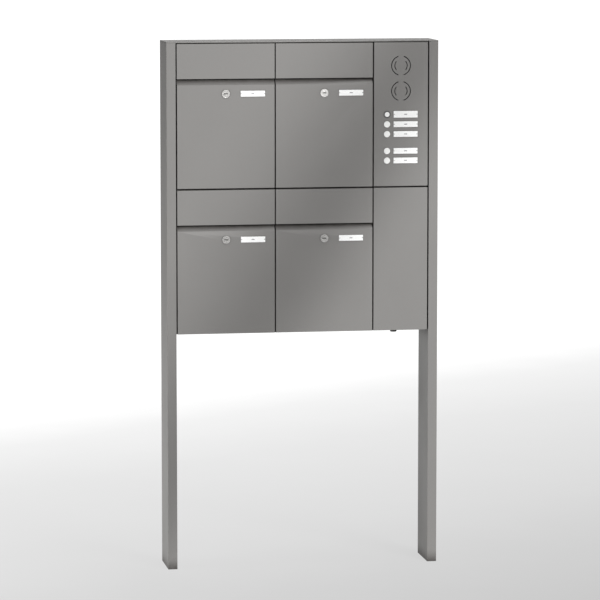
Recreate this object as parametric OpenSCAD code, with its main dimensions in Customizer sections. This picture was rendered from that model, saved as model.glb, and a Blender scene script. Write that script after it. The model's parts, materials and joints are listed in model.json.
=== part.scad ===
// Cluster mailbox unit: four letter compartments and a bell column, carried between two posts.
// +Z is up and the doors face -Y. The origin is the middle of the footprint, on the ground.

/* [Overall] */
// Width of one letter compartment
cell_w = 300; // [280:5:340]
// Height of one row of compartments
cell_h = 440; // [440:5:480]
// Width of the bell column
column_w = 170; // [170:5:220]
// Depth from the front faces to the back
body_d = 148.5; // [130:0.5:200]
// Height of the underside of the boxes above the ground
leg_h = 717; // [400:1:1000]
// Width of a post
post_w = 28; // [24:1:50]
// Thickness of the top cover
cover_t = 3; // [2:0.5:5]

/* [Sheet metal] */
// Thickness of the folded sheet
sheet = 1.5; // [1:0.1:2]
// Seam around the boxes' back sheets
seam = 0.1; // [0.05:0.05:0.3]
// Distance from a front's edge to the edge of its box
inset = 1.8; // [1.5:0.1:2.5]
// The same distance along the top edge
inset_top = 2.4; // [2:0.1:3]
// Width of the flange around the mouth of a box
flange_w = 15; // [13:0.5:16]
// Distance from the front faces back to the mouth of a box
mouth_y = 20; // [20:0.5:24]
// Depth of the folded edges of a door
door_d = 15; // [12:0.5:15]
// Depth of the folded edges of a flap
flap_d = 12; // [10:0.5:12]

/* [Letter slot] */
// Height of a door's flat front
door_h = 311.2; // [300:0.2:312]
// Height of the sloped lip above a door
lip_h = 16.5; // [14:0.5:17]
// Depth of the sloped lip
lip_d = 13; // [10:0.5:13]
// Height of the flap's lower edge above the bottom of its box
flap_z = 331.8; // [331:0.2:334]
// Width of the letter slot
slot_w = 265; // [230:5:265]
// Height of the letter slot
slot_h = 38; // [30:1:38]

/* [Locks and name plates] */
// Diameter of a lock's rim
lock_d = 24.5; // [22:0.5:26]
// How far a lock's rim stands proud of the door
proud = 1.5; // [1:0.1:1.5]
// Height of the lock above the bottom of its box
lock_z = 286.6; // [280:0.2:287]
// Width of a name plate
plate_w = 75; // [60:1:80]
// Height of a name plate
plate_h = 18.3; // [14:0.1:20]
// Left edge of a door's name plate, from the side of its box
plate_x = 194.5; // [180:0.5:200]

/* [Bell column] */
// Distance of the bell buttons from the side of the column
button_x = 42.5; // [40:0.5:45]
// Diameter of a bell button
button_d = 19; // [16:0.5:19]
// How far a button travels
button_travel = 2; // [1:0.1:2]
// Left edge of a bell's name plate, from the side of the column
bell_plate_x = 62.2; // [60:0.2:64]
// Radius of a grille's outer slots
grille_r = 28.9; // [26:0.1:29]
// Width of a grille's slots
grille_slot = 2.6; // [2:0.1:3]

/* [Hidden] */
$fn = 48;
eps = 0.05;

CELLS = [
    ["upper_left", 0, 1],
    ["upper_right", 1, 1],
    ["lower_left", 0, 0],
    ["lower_right", 1, 0],
];
CELL_PARTS = [
    "housing", "slot_frame", "baffle", "hinge_brackets", "flap",
    "door", "lock_barrel", "lock_plug", "name_card", "name_window",
];
UNIT_PARTS = [
    "left_post", "right_post", "foot_plates", "top_cover", "fixing_screws",
    "bell_housing", "service_housing", "bell_panel", "service_panel",
    "light_button", "bell_button_1", "bell_button_2", "bell_button_3", "bell_button_4",
    "button_block", "bell_cards", "bell_windows", "voice_unit", "power_supply", "cable_gland",
];

// Colours
painted = "#959492";
steel = "#b8babc";
white = "#f2f2f0";
dark = "#2b2c2e";

// Whole unit
boxes_w = 2 * cell_w + column_w;
front = proud - (body_d + proud) / 2;
left = -boxes_w / 2;
spacer = 2;
post_wall = 2.5;
post_x = boxes_w / 2 + spacer;
post_h = leg_h + 2 * cell_h;
column_x = left + 2 * cell_w;
BOXES = [[left, cell_w], [left + cell_w, cell_w], [column_x, column_w]];
foot_t = 12;
anchor_r = 5.1;
anchor_ys = [30, body_d - 30];

// Screws that hold the boxes together
screw_r = 3;
screw_hole_r = 3.2;
head_r = 5;
head_h = 3;
nut_r = 5.7;
nut_h = 5;
screw_ys = [45, body_d - 18.5];
screw_zs = [60, cell_h - 60];
screw_in = 50;
strip_w = 20;
stud_l = 12;

// Hinges: the axis of each lies the same distance in from both edges of its corner
axis_in = 6;
pin_r = 2.5;
pin_bore_r = 2.55;
collar_r = 3.6;
ear_r = 4;
ear_half = 3.5;
ear_t = 2;
ear_room = 7;
ear_gap = 4.2;
pin_play = 0.5;
foot_l = 12;
bend_r = 3;
door_top = inset + door_h;
door_right = cell_w - inset;
door_axis_x = door_right - axis_in;
flap_top = cell_h - inset_top;
flap_axis_z = flap_top - axis_in;
flap_notch = 10;
door_ear_z = door_top - 14;

// Letter slot
lip_top = door_top + lip_h;
slot_z = lip_top + 2.5;
frame_y = mouth_y - sheet;
frame_z = door_top - 9;
frame_side = 4;

// Lock
barrel_r = 9.5;
barrel_bore_r = 8.05;
plug_r = 8;
barrel_back = mouth_y - 0.5;
barrel_nut_r = 14;
barrel_nut_h = 6;
cam_y = mouth_y + 0.5;
cam_t = 2;
cam_l = 27;
cam_r = 7;
key_w = 12;
key_t = 3;
key_deep = 10;
plug_in = 0.3;
cam_screw_h = 3;

// Name plates
window_t = 1.2;
card_t = 0.3;
card_in = 0.4;
peg_r = 1.2;
peg_hole_r = 1.35;
peg_in = 2.4;
peg_l = 5;

// Bell column, with heights measured down from the top of the row
light_z = cell_h - 220.4;
bell_zs = [for (d = [250.4, 280.1, 331.1, 360.2]) cell_h - d];
bell_and_light_zs = concat([light_z], bell_zs);
light_plate_h = 21;
light_r = 7.5;
bezel_r = 10;
bezel_t = 0.8;
bezel_hole_r = 9;
button_r = button_d / 2;
button_gap = 0.3;
button_back = 6;
shoulder_t = 2;
block_y = button_back + button_travel + 0.5;
block_d = 11.5;
stem_r = 4;
stem_bore_r = 4.05;
grille_zs = [cell_h - 73, cell_h - 150];
inner_grille_r = 19;
outer_span = 148;
inner_span = 86;
speaker_r = 34;
lug_w = 10;
lug_y = 45;
lug_zs = [110, cell_h - 110];
lug_h = 16;
hook_t = 4;
hook_x = column_w - flange_w - hook_t - 1;
hook_y = mouth_y + sheet + 0.3;
lug_screw_y = 37;
lug_screw_r = 2.5;
grommet_r = 12;
gland_y = 110;
gland_r = 10;
gland_bore_r = 6.5;
gland_top = 12;

// Basic shapes

module slab(x0, x1, y0, y1, z0, z1) {
    translate([x0, y0, z0]) cube([x1 - x0, y1 - y0, z1 - z0]);
}

module rod_x(y, z, r, x0, x1) {
    translate([x0, y, z]) rotate([0, 90, 0]) cylinder(r = r, h = x1 - x0);
}

module rod_y(x, z, r, y0, y1) {
    translate([x, y0, z]) rotate([-90, 0, 0]) cylinder(r = r, h = y1 - y0);
}

module rod_z(x, y, r, z0, z1) {
    translate([x, y, z0]) cylinder(r = r, h = z1 - z0);
}

// A side view of [y, z] points, drawn out along X
module profile_x(x0, x1, points) {
    translate([x0, 0, 0]) rotate([90, 0, 90]) linear_extrude(x1 - x0) polygon(points);
}

// Everything in a cell or in the column is drawn from its lower left front corner
module at_cell(c) {
    translate([left + c[1] * cell_w, front, leg_h + c[2] * cell_h]) children();
}

module at_column(row) {
    translate([column_x, front, leg_h + row * cell_h]) children();
}

// Screws, drawn upward from the inner face of the first wall; t is the thickness clamped

module screw(t) {
    translate([0, 0, -head_h]) cylinder(r = head_r, h = head_h);
    cylinder(r = screw_r, h = t + nut_h + 1);
    nut(t);
}

module nut(z) {
    translate([0, 0, z]) difference() {
        cylinder(r = nut_r, h = nut_h, $fn = 6);
        translate([0, 0, -eps]) cylinder(r = screw_r, h = nut_h + 2 * eps);
    }
}

// Boxes

module open_box(w) {
    difference() {
        slab(0, w, mouth_y, body_d, 0, cell_h);
        slab(sheet, w - sheet, mouth_y + sheet, body_d + 1, sheet, cell_h - sheet);
        slab(flange_w, w - flange_w, mouth_y - 1, mouth_y + 2 * sheet, flange_w, cell_h - flange_w);
    }
    back_edge = sheet + seam; // the back sheet is welded in between the walls
    slab(back_edge, w - back_edge, body_d - sheet, body_d, back_edge, cell_h - back_edge);
}

// The column's boxes are welded from a top, a bottom, two sides and a back sheet

module welded_box(w) {
    edge = sheet + seam;
    flange_x = flange_w + seam;
    flange_y = mouth_y + sheet;
    union() {
        slab(0, w, mouth_y, body_d, 0, sheet);
        slab(flange_x, w - flange_x, mouth_y, flange_y, 0, flange_w);
    }
    union() {
        slab(0, w, mouth_y, body_d, cell_h - sheet, cell_h);
        slab(flange_x, w - flange_x, mouth_y, flange_y, cell_h - flange_w, cell_h);
    }
    union() {
        slab(0, sheet, mouth_y, body_d, edge, cell_h - edge);
        slab(0, flange_w, mouth_y, flange_y, edge, cell_h - edge);
    }
    union() {
        slab(w - sheet, w, mouth_y, body_d, edge, cell_h - edge);
        slab(w - flange_w, w, mouth_y, flange_y, edge, cell_h - edge);
    }
    slab(edge, w - edge, body_d - sheet, body_d, edge, cell_h - edge);
}

module side_holes(x, length) {
    for (y = screw_ys, z = screw_zs) rod_x(y, z, screw_hole_r, x, x + length);
}

module level_holes(w, z, length) {
    for (y = screw_ys, x = [screw_in, w - screw_in]) rod_z(x, y, screw_hole_r, z, z + length);
}

module lug_screw_holes(x) {
    for (z = lug_zs) rod_x(lug_screw_y, z, lug_screw_r + 0.2, x - 1, x + sheet + 1);
}

module box_with_holes(w, row) {
    difference() {
        if (w == column_w) welded_box(w); else open_box(w);
        side_holes(-1, sheet + 2);
        side_holes(w - sheet - 1, sheet + 2);
        level_holes(w, cell_h - sheet - 1, sheet + 2);
        if (row == 1) level_holes(w, -1, sheet + 2);
    }
}

module housing(c) {
    color(painted) difference() {
        box_with_holes(cell_w, c[2]);
        if (c[1] == 1) lug_screw_holes(cell_w - sheet);
    }
}

module column_housing(row) {
    grommet_z = row == 1 ? 0 : cell_h - sheet;
    color(painted) difference() {
        box_with_holes(column_w, row);
        lug_screw_holes(0);
        rod_z(column_w / 2, gland_y, grommet_r, grommet_z - 1, grommet_z + sheet + 1);
        if (row == 0) rod_z(column_w / 2, gland_y, gland_r, -1, sheet + 1);
    }
}

// Letter slot: a plate behind the flap, with the bar that the lock's cam turns behind

module slot_frame() {
    slot_x = (cell_w - slot_w) / 2;
    color(painted) difference() {
        union() {
            slab(frame_side, cell_w - frame_side, frame_y, mouth_y, frame_z, flap_axis_z - 8);
            slab(screw_in - 30, cell_w - screw_in + 30, frame_y, mouth_y, frame_z, flap_top - 2);
        }
        slab(slot_x, cell_w - slot_x, frame_y - 1, mouth_y + 1, slot_z, slot_z + slot_h);
    }
}

// Sloped plate that turns letters down and keeps hands out
module baffle() {
    top = slot_z + slot_h + 22;
    fold = slot_z + slot_h + 4;
    reach = 46;
    drop = 42;
    color(painted) profile_x(flange_w + 2, cell_w - flange_w - 2, [
        [mouth_y, top],
        [mouth_y, fold - sheet],
        [mouth_y + reach - sheet, fold - drop - sheet],
        [mouth_y + reach, fold - drop],
        [mouth_y + sheet, fold],
        [mouth_y + sheet, top],
    ]);
}

// Ears with riveted pins; the flap turns on the first pair and the door on the second

module flap_ear() {
    slab(axis_in, axis_in + foot_l, mouth_y - ear_t, mouth_y, flap_axis_z - 6, flap_axis_z + 5);
    slab(axis_in, axis_in + ear_t, axis_in, mouth_y, flap_axis_z - ear_half, flap_axis_z + ear_half);
    rod_x(axis_in, flap_axis_z, ear_r, axis_in, axis_in + ear_t);
    rod_x(axis_in, flap_axis_z, collar_r, inset + sheet + pin_play, axis_in + eps);
    rod_x(axis_in, flap_axis_z, pin_r, inset + 0.1, axis_in + eps);
}

// Drawn as the upper ear, with its flat face at z = 0 and its pin pointing up
module door_ear(pin_l) {
    slab(door_axis_x - axis_in, cell_w - 2, mouth_y - ear_t, mouth_y, ear_t - foot_l, ear_t);
    slab(door_axis_x - ear_half, door_axis_x + ear_half, axis_in, mouth_y, 0, ear_t);
    rod_z(door_axis_x, axis_in, ear_r, 0, ear_t);
    rod_z(door_axis_x, axis_in, collar_r, ear_t - eps, pin_l - sheet - pin_play);
    rod_z(door_axis_x, axis_in, pin_r, ear_t - eps, pin_l);
}

module hinge_brackets() {
    color(steel) {
        flap_ear();
        translate([cell_w, 0, 0]) mirror([1, 0, 0]) flap_ear();
        translate([0, 0, door_ear_z]) door_ear(door_top - 0.1 - door_ear_z);
        translate([0, 0, inset + ear_gap + ear_t]) mirror([0, 0, 1]) door_ear(ear_gap + ear_t - 0.1);
    }
}

module flap() {
    left_x = inset;
    right_x = cell_w - inset;
    color(painted) difference() {
        union() {
            slab(left_x, right_x, 0, sheet, flap_z, flap_top - bend_r);
            slab(left_x, right_x, 0, flap_d, flap_z, flap_z + sheet);
            slab(flap_notch, cell_w - flap_notch, bend_r, flap_d, flap_top - sheet, flap_top);
            intersection() {
                slab(left_x, right_x, 0, bend_r, flap_top - bend_r, flap_top);
                difference() {
                    rod_x(bend_r, flap_top - bend_r, bend_r, left_x, right_x);
                    rod_x(bend_r, flap_top - bend_r, bend_r - sheet, left_x - 1, right_x + 1);
                }
            }
            for (x = [left_x, right_x - sheet]) {
                slab(x, x + sheet, 0, flap_d, flap_z, flap_top - bend_r);
                slab(x, x + sheet, bend_r, flap_d, flap_top - 2 * bend_r, flap_top);
            }
        }
        rod_x(axis_in, flap_axis_z, pin_bore_r, left_x - 1, right_x + 1);
    }
}

module door() {
    left_x = inset;
    color(painted) difference() {
        union() {
            slab(left_x, door_right, 0, sheet, inset, door_top);
            slab(left_x, door_right, 0, door_d, inset, inset + sheet);
            slab(left_x, door_right, 0, door_d, door_top - sheet, door_top);
            for (x = [left_x, door_right - sheet]) slab(x, x + sheet, 0, door_d, inset, door_top);
            profile_x(left_x, door_right, [
                [0, door_top - sheet],
                [0, door_top],
                [lip_d, lip_top],
                [lip_d + sheet, lip_top - 1],
                [sheet, door_top - sheet],
            ]);
        }
        for (z = [inset + sheet, door_ear_z - 2])
            slab(door_right - 2 * sheet, door_right + 1, sheet, door_d + 1, z, z + ear_room);
        rod_z(door_axis_x, axis_in, pin_bore_r, inset - 1, inset + sheet + 1);
        rod_z(door_axis_x, axis_in, pin_bore_r, door_top - sheet - 1, door_top + 1);
        rod_y(cell_w / 2, lock_z, barrel_r, -1, sheet + 1);
        plate_peg_holes(plate_x, lock_z);
    }
}

// Lock: a barrel held in the door by a nut, and a plug that carries the cam

module lock_barrel() {
    color(steel) {
        difference() {
            union() {
                rod_y(cell_w / 2, lock_z, lock_d / 2, -proud, 0);
                rod_y(cell_w / 2, lock_z, barrel_r, -eps, barrel_back);
            }
            rod_y(cell_w / 2, lock_z, barrel_bore_r, -proud - 1, barrel_back + 1);
        }
        translate([cell_w / 2, sheet, lock_z]) rotate([-90, 0, 0]) difference() {
            cylinder(r = barrel_nut_r, h = barrel_nut_h, $fn = 6);
            translate([0, 0, -eps]) cylinder(r = barrel_r, h = barrel_nut_h + 2 * eps);
        }
    }
}

module lock_plug() {
    cam_back = cam_y + cam_t;
    color(steel) translate([cell_w / 2, 0, lock_z]) {
        difference() {
            rod_y(0, 0, plug_r, plug_in - proud, cam_y);
            slab(-key_w / 2, key_w / 2, -proud - 1, key_deep, -key_t / 2, key_t / 2);
        }
        slab(cam_r - cam_l, 0, cam_y, cam_back, -cam_r, cam_r);
        for (x = [0, cam_r - cam_l]) rod_y(x, 0, cam_r, cam_y, cam_back);
        rod_y(0, 0, cam_r - 1, cam_back, cam_back + cam_screw_h);
    }
}

// Name plates: a clear window with two pegs holds a card against the sheet

module plate_peg_holes(x, z) {
    for (px = [x + peg_in, x + plate_w - peg_in]) rod_y(px, z, peg_hole_r, -1, sheet + 1);
}

module card(x, z, h) {
    color(white) difference() {
        slab(x + card_in, x + plate_w - card_in, -card_t, 0, z - h / 2 + card_in, z + h / 2 - card_in);
        plate_peg_holes(x, z);
    }
}

module window(x, z, h) {
    color(white, 0.4) {
        difference() {
            slab(x, x + plate_w, -window_t, 0, z - h / 2, z + h / 2);
            slab(x + card_in, x + plate_w - card_in, -card_t, 1, z - h / 2 + card_in, z + h / 2 - card_in);
        }
        for (px = [x + peg_in, x + plate_w - peg_in]) rod_y(px, z, peg_r, -card_t - eps, peg_l);
    }
}

module bell_cards() {
    card(bell_plate_x, light_z, light_plate_h);
    for (z = bell_zs) card(bell_plate_x, z, plate_h);
}

module bell_windows() {
    window(bell_plate_x, light_z, light_plate_h);
    for (z = bell_zs) window(bell_plate_x, z, plate_h);
}

// Bell column panels: each hooks in on its right and is screwed from the next compartment on its left

module column_panel() {
    top = cell_h - inset_top;
    right = column_w - inset;
    slab(inset, right, 0, sheet, inset, top);
    for (z = [inset, top - sheet]) slab(inset, right, 0, mouth_y, z, z + sheet);
    for (x = [inset, right - sheet]) slab(x, x + sheet, 0, mouth_y, inset, top);
    for (z = lug_zs) {
        slab(flange_w + 1, flange_w + 1 + lug_w, sheet, lug_y, z - lug_h / 2, z + lug_h / 2);
        slab(hook_x, hook_x + hook_t, sheet, hook_y + hook_t, z - lug_h / 2, z + lug_h / 2);
        slab(hook_x, column_w - hook_t, hook_y, hook_y + hook_t, z - lug_h / 2, z + lug_h / 2);
    }
}

module grille_slots(z, r, span) {
    for (side = [0, 180])
        translate([column_w / 2, sheet + 1, z]) rotate([90, side, 0])
            rotate_extrude(angle = span, start = -span / 2)
                translate([r - grille_slot / 2, 0]) square([grille_slot, sheet + 2]);
}

module bell_panel() {
    color(painted) difference() {
        column_panel();
        for (z = grille_zs) {
            grille_slots(z, grille_r, outer_span);
            grille_slots(z, inner_grille_r, inner_span);
        }
        rod_y(button_x, light_z, bezel_hole_r, -1, sheet + 1);
        for (z = bell_zs) rod_y(button_x, z, button_r + button_gap, -1, sheet + 1);
        for (z = bell_and_light_zs) plate_peg_holes(bell_plate_x, z);
        panel_screw_holes();
    }
}

module service_panel() {
    color(painted) difference() {
        column_panel();
        panel_screw_holes();
    }
}

module panel_screw_holes() {
    for (z = lug_zs) rod_x(lug_screw_y, z, lug_screw_r, flange_w, flange_w + lug_w + 2);
}

// Buttons

module bell_button(z, r, shoulder_r) {
    shoulder_y = sheet + button_gap;
    color(white) {
        rod_y(button_x, z, r, -proud, button_back);
        rod_y(button_x, z, shoulder_r, shoulder_y, shoulder_y + shoulder_t);
        rod_y(button_x, z, stem_r, button_back - eps, block_y + block_d - 4);
    }
}

module button_block() {
    half = 14;
    post_in = 3;
    bottom = bell_zs[3] - half - 2;
    top = light_z + half + 2;
    back = block_y + block_d;
    color(dark) {
        difference() {
            union() {
                slab(button_x - half, button_x + half, block_y, back, bottom, top);
                for (z = [bottom + post_in, (bell_zs[1] + bell_zs[2]) / 2, top - post_in])
                    rod_y(button_x + half - post_in, z, post_in - 0.5, sheet, block_y + eps);
            }
            for (z = bell_and_light_zs) rod_y(button_x, z, stem_bore_r, block_y - 1, back - 1);
        }
        difference() {
            union() {
                rod_y(button_x, light_z, bezel_r, -bezel_t, 0);
                rod_y(button_x, light_z, bezel_hole_r, -eps, sheet);
            }
            rod_y(button_x, light_z, light_r + button_gap, -1, sheet + 1);
        }
    }
}

// Electrical pieces

module voice_unit() {
    rim = 3;
    rim_d = 4;
    magnet_r = 20;
    magnet_y = 18;
    speaker_d = 28;
    color(dark) for (z = grille_zs)
        translate([column_w / 2, sheet, z]) rotate([-90, 0, 0]) rotate_extrude() polygon([
            [speaker_r - rim, 0],
            [speaker_r, 0],
            [speaker_r, rim_d],
            [magnet_r, magnet_y],
            [magnet_r, speaker_d],
            [0, speaker_d],
            [0, magnet_y - rim_d],
            [magnet_r - rim, magnet_y - rim_d],
            [speaker_r - rim, rim_d],
        ]);
}

module power_supply() {
    base = [72, 44, 90];
    top = [46, 16, 60];
    z = 180;
    back = body_d - sheet;
    color("#d8d8d4") translate([column_w / 2, back, z]) {
        translate([-base.x / 2, -base.y, 0]) cube(base);
        translate([-top.x / 2, -base.y - top.y, (base.z - top.z) / 2]) cube(top + [0, eps, 0]);
    }
}

module cable_gland() {
    hex_r = 13.5;
    hex_h = 5;
    dome_h = 11;
    low = -hex_h - dome_h;
    color(dark) translate([column_w / 2, gland_y, 0]) difference() {
        union() {
            translate([0, 0, -hex_h]) cylinder(r = hex_r, h = hex_h, $fn = 6);
            translate([0, 0, low]) cylinder(r1 = gland_r - 0.5, r2 = gland_r + 1.5, h = dome_h + eps);
            translate([0, 0, -eps]) cylinder(r = gland_r, h = gland_top + eps);
            translate([0, 0, sheet]) cylinder(r = hex_r, h = hex_h, $fn = 6);
        }
        translate([0, 0, low - 1]) cylinder(r = gland_bore_r, h = gland_top - low + 2);
    }
}

// Posts and cover

module post(side) {
    mirror([side < 0 ? 1 : 0, 0, 0]) translate([post_x, front, 0]) {
        difference() {
            slab(0, post_w, 0, body_d, 0, post_h);
            slab(post_wall, post_w - post_wall, post_wall, body_d - post_wall, -1, post_h + 1);
            for (row = [0, 1]) translate([0, 0, leg_h + row * cell_h]) side_holes(-1, post_wall + 2);
        }
        difference() {
            for (y = screw_ys) slab(-spacer, 0, y - strip_w / 2, y + strip_w / 2, leg_h, post_h);
            for (row = [0, 1]) translate([0, 0, leg_h + row * cell_h]) side_holes(-spacer - 1, spacer + 2);
        }
    }
}

module left_post() {
    color(painted) post(-1);
}

module right_post() {
    color(painted) post(1);
}

// A thick plate closes each post's lower end and takes the anchor bolts
module foot_plates() {
    color(steel) for (side = [0, 1])
        mirror([side, 0, 0]) translate([post_x, front, 0]) difference() {
            slab(post_wall, post_w - post_wall, post_wall, body_d - post_wall, 0, foot_t);
            for (y = anchor_ys) rod_z(post_w / 2, y, anchor_r, -1, foot_t + 1);
        }
}

module top_cover() {
    color(painted) translate([0, front, post_h]) {
        slab(-post_x - post_w, post_x + post_w, 0, body_d, 0, cover_t);
        for (b = BOXES, y = screw_ys, x = [screw_in, b[1] - screw_in])
            rod_z(b[0] + x, y, screw_r, -stud_l, eps);
    }
}

// Screws in the side walls, between the rows, in the panels' lugs, and nuts under the cover
module fixing_screws() {
    post_grip = sheet + spacer + post_wall;
    color(steel) translate([0, front, leg_h]) {
        for (row = [0, 1], y = screw_ys, z = screw_zs) translate([0, y, z + row * cell_h]) {
            translate([left + sheet, 0, 0]) rotate([0, -90, 0]) screw(post_grip);
            translate([left + cell_w - sheet, 0, 0]) rotate([0, 90, 0]) screw(2 * sheet);
            translate([column_x - sheet, 0, 0]) rotate([0, 90, 0]) screw(2 * sheet);
            translate([-left - sheet, 0, 0]) rotate([0, 90, 0]) screw(post_grip);
        }
        for (b = BOXES, y = screw_ys, x = [screw_in, b[1] - screw_in]) {
            translate([b[0] + x, y, cell_h - sheet]) screw(2 * sheet);
            translate([b[0] + x, y, 2 * cell_h - sheet - nut_h]) nut(0);
        }
        for (row = [0, 1], z = lug_zs)
            translate([column_x - sheet, lug_screw_y, z + row * cell_h]) rotate([0, 90, 0]) lug_screw();
    }
}

module lug_screw() {
    translate([0, 0, -head_h]) cylinder(r = head_r, h = head_h);
    cylinder(r = lug_screw_r, h = flange_w + lug_w);
}

// Whatever is asked for

for (c = CELLS) {
    at_cell(c) housing(c);
    at_cell(c) slot_frame();
    at_cell(c) baffle();
    at_cell(c) hinge_brackets();
    at_cell(c) flap();
    at_cell(c) door();
    at_cell(c) lock_barrel();
    at_cell(c) lock_plug();
    at_cell(c) card(plate_x, lock_z, plate_h);
    at_cell(c) window(plate_x, lock_z, plate_h);
}
left_post();
right_post();
foot_plates();
top_cover();
fixing_screws();
at_column(1) column_housing(1);  // bell_housing
at_column(0) column_housing(0);  // service_housing
at_column(1) bell_panel();
at_column(0) service_panel();
at_column(1) bell_button(light_z, light_r, bezel_hole_r);  // light_button
for (i = [0:3])
    at_column(1) bell_button(bell_zs[i], button_r, button_r + shoulder_t);
at_column(1) button_block();
at_column(1) bell_cards();
at_column(1) bell_windows();
at_column(1) voice_unit();
at_column(0) power_supply();
at_column(0) cable_gland();
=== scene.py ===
import json
import math

import bmesh
import bpy
from mathutils import Matrix, Vector


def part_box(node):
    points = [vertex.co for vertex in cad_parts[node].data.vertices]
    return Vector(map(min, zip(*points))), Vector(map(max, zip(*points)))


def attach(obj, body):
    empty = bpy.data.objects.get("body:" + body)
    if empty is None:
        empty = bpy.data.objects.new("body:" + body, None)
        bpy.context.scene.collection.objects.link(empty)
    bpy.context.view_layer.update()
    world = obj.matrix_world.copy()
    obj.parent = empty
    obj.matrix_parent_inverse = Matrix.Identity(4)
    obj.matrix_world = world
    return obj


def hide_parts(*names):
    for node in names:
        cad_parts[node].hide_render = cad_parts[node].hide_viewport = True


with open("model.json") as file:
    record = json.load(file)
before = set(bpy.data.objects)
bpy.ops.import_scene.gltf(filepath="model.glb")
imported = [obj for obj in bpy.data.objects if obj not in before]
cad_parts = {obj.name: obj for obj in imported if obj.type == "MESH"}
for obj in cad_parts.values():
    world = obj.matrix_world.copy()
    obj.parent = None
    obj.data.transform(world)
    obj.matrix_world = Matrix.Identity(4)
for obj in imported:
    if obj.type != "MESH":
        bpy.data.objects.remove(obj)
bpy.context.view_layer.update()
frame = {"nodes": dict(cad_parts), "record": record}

print("frame loaded:", len(frame["nodes"]), "nodes")

mm = 0.001
cells = ["upper_left", "upper_right", "lower_left", "lower_right"]
bells = ["bell_button_1", "bell_button_2", "bell_button_3", "bell_button_4"]
slotOf = {s["node"]: s["material_slot"] for s in frame["record"]["subparts"]}
bodyOf = {n: b for b, members in frame["record"]["behaviour"]["bodies"].items() for n in members}


# camera

cameraSetup = {
    "place": (-1.780, -10.679, 2.075),
    "yaw": 9.4775,  # degrees, to the right of +Y
    "pitch": 6.6743,  # degrees, downward
    "lens": 214.35,
    "sensor": 36.0,
}


def makeCamera(setup):
    data = bpy.data.cameras.new("camera")
    data.lens = setup["lens"]
    data.sensor_width = setup["sensor"]
    data.sensor_height = setup["sensor"]
    data.clip_end = 100
    camera = bpy.data.objects.new("camera", data)
    bpy.context.scene.collection.objects.link(camera)
    camera.location = setup["place"]
    camera.rotation_euler = (math.radians(90 - setup["pitch"]), 0, math.radians(-setup["yaw"]))
    bpy.context.scene.camera = camera


makeCamera(cameraSetup)


# shader building blocks

def addNode(tree, kind, **settings):
    node = tree.nodes.new(kind)
    for key, value in settings.items():
        setattr(node, key, value)
    return node


def feed(tree, socket, value):
    if isinstance(value, bpy.types.NodeSocket):
        tree.links.new(value, socket)
    else:
        socket.default_value = value


def math2(tree, operation, a, b=0.0, c=None, clamp=False):
    node = addNode(tree, "ShaderNodeMath", operation=operation, use_clamp=clamp)
    feed(tree, node.inputs[0], a)
    feed(tree, node.inputs[1], b)
    if c is not None:
        feed(tree, node.inputs[2], c)
    return node.outputs[0]


def mixColour(tree, factor, a, b):
    node = addNode(tree, "ShaderNodeMix", data_type="RGBA", clamp_factor=True)
    feed(tree, node.inputs[0], factor)
    feed(tree, node.inputs[6], a)
    feed(tree, node.inputs[7], b)
    return node.outputs[2]


def spread(tree, value, fromLow, fromHigh, toLow, toHigh):
    node = addNode(tree, "ShaderNodeMapRange", clamp=True)
    for socket, v in zip(node.inputs, (value, fromLow, fromHigh, toLow, toHigh)):
        feed(tree, socket, v)
    return node.outputs[0]


def noise(tree, vector, scale, detail=3.0, roughness=0.55, distortion=0.0):
    node = addNode(tree, "ShaderNodeTexNoise")
    feed(tree, node.inputs["Vector"], vector)
    feed(tree, node.inputs["Scale"], scale)
    node.inputs["Detail"].default_value = detail
    node.inputs["Roughness"].default_value = roughness
    node.inputs["Distortion"].default_value = distortion
    return node.outputs[0]


def objectPlace(tree):
    return addNode(tree, "ShaderNodeTexCoord").outputs["Object"]


def newGroup(name, inputs, outputs):
    tree = bpy.data.node_groups.new(name, "ShaderNodeTree")
    for label, value in inputs.items():
        socket = tree.interface.new_socket(label, in_out="INPUT", socket_type="NodeSocketFloat")
        socket.default_value = value
    for label in outputs:
        tree.interface.new_socket(label, in_out="OUTPUT", socket_type="NodeSocketFloat")
    return tree, addNode(tree, "NodeGroupInput"), addNode(tree, "NodeGroupOutput")


def makeCoatGrain():
    # the fine orange peel and metal flecks of a baked powder coat
    tree, given, out = newGroup("coatGrain", {"Peel Scale": 900, "Fleck Scale": 2600, "Cloud Scale": 6},
                                ("Height", "Fleck", "Cloud"))
    place = objectPlace(tree)
    peel = noise(tree, place, given.outputs["Peel Scale"], 2.0)
    specks = addNode(tree, "ShaderNodeTexVoronoi", feature="F1")
    feed(tree, specks.inputs["Vector"], place)
    feed(tree, specks.inputs["Scale"], given.outputs["Fleck Scale"])
    separate = addNode(tree, "ShaderNodeSeparateColor")
    feed(tree, separate.inputs[0], specks.outputs["Color"])
    fleck = spread(tree, separate.outputs[0], 0.55, 1.0, 0.0, 1.0)
    feed(tree, out.inputs["Height"], peel)
    feed(tree, out.inputs["Fleck"], fleck)
    feed(tree, out.inputs["Cloud"], noise(tree, place, given.outputs["Cloud Scale"], 4.0))
    return tree


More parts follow.
